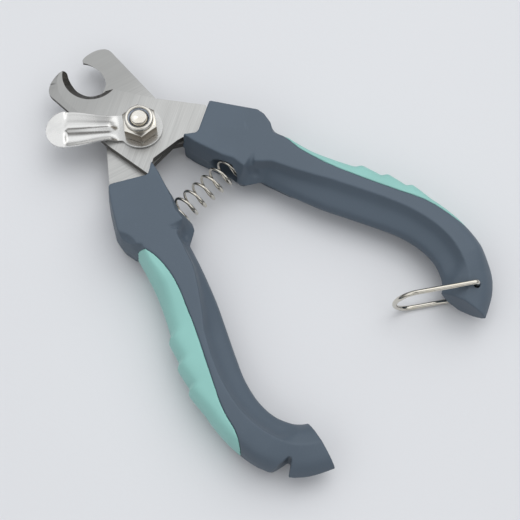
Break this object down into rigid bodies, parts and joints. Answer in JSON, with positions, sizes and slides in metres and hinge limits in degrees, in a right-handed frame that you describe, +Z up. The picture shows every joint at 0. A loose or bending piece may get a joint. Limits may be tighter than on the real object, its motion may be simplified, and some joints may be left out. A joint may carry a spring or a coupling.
{
  "type": "scissor nail clipper",
  "caption": "Pet nail clipper with hooked scissor blades, spring-open handles with soft grip inlays, a swinging nail guard and a wire handle lock.",
  "frame": {"origin": "bottom centre of the open clipper's box, lying on its back", "axes": "+Y towards the jaws, +X towards the handle that carries the lock wire, +Z up along the bolt towards its nut"},
  "size_m": [0.0982, 0.1498, 0.0185],
  "materials": {
    "blade_steel": "satin, brushed across the blade",
    "polished_steel": "polished pressed sheet",
    "nickel_plate": "bright nickel plate",
    "spring_wire": "bright drawn wire",
    "handle_plastic": "matte slate grey",
    "grip_rubber": "soft matte mint",
    "nylon": "blue-grey nylon"
  },
  "bodies": {
    "left_half": {"lower_blade": "blade_steel", "left_handle": "handle_plastic", "left_grip": "grip_rubber", "pivot_bolt": "nickel_plate", "pivot_nut": "nickel_plate", "nut_insert": "nylon", "return_spring": "spring_wire"},
    "right_half": {"upper_blade": "blade_steel", "right_handle": "handle_plastic", "right_grip": "grip_rubber"},
    "guard": {"nail_guard": "polished_steel"},
    "lock": {"lock_wire": "spring_wire"}
  },
  "joints": [
    {"name": "squeeze", "type": "hinge", "parent": "left_half", "child": "right_half", "pos_m": [0, 0.04215, 0.008], "axis": [0, 0, -1], "range_deg": [0, 29.5], "stiffness_Nm_per_rad": 0.6, "springref_deg": -8.59, "deforming": ["return_spring"]},
    {"name": "guard_swing", "type": "hinge", "parent": "left_half", "child": "guard", "pos_m": [0, 0.04215, 0.0108], "axis": [0, 0, 1], "range_deg": [-49, 40]},
    {"name": "lock_swing", "type": "hinge", "parent": "right_half", "child": "lock", "pos_m": [0.0364, -0.06615, 0.008], "axis": [0, 0, 1], "range_deg": [-34, 50]}
  ]
}
